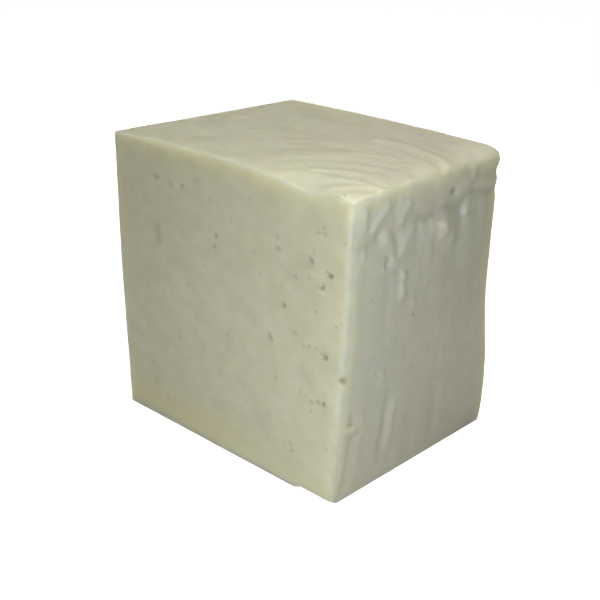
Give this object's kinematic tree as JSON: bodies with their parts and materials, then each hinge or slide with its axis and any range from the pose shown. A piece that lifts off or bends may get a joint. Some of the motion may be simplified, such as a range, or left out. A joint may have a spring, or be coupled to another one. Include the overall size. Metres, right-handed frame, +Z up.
{
  "type": "frying cheese block",
  "caption": "Block of white frying cheese with soft edges, a rippled top folded over one side, run marks and small eyes.",
  "frame": {"origin": "on the table, under the middle of the block's box", "axes": "+Z up, +X towards the side that the top's lip folds over, -Y towards the large cut front"},
  "size_m": [0.105, 0.0841, 0.1034],
  "materials": {
    "cheese": "moist, waxy satin, slightly translucent, cream white with yellower edges"
  },
  "bodies": {
    "root": {"cheese_block": "cheese"}
  },
  "joints": []
}
